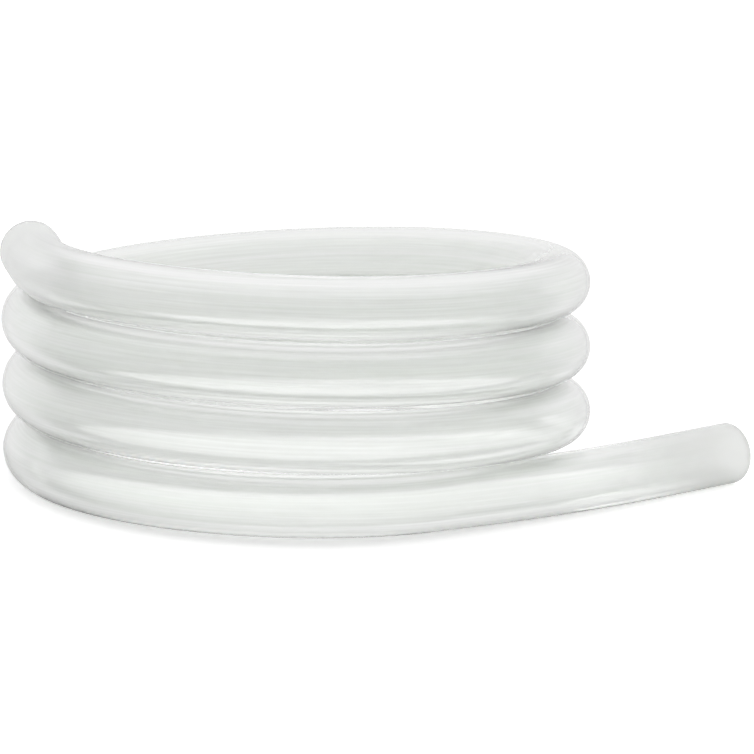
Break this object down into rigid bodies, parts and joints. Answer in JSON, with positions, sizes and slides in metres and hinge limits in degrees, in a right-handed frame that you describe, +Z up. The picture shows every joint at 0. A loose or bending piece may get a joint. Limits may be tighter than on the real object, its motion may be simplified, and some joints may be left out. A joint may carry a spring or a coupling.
{
  "type": "vacuum hose",
  "caption": "Smooth flexible hose with plain square-cut ends, lying in a close coil with its lower end run out; carries water or suction between a pool cleaner and its supply.",
  "frame": {"origin": "middle of the hose's outline on the ground that it lies on", "axes": "+Z up from the ground, +X along the longest side of the outline, towards the lower end"},
  "size_m": [0.3538, 0.274, 0.1217],
  "materials": {
    "hose": "glossy, milky and slightly translucent"
  },
  "bodies": {
    "root": {"upper_end": "hose", "coil": "hose", "free_run": "hose", "lower_end": "hose"}
  },
  "joints": []
}
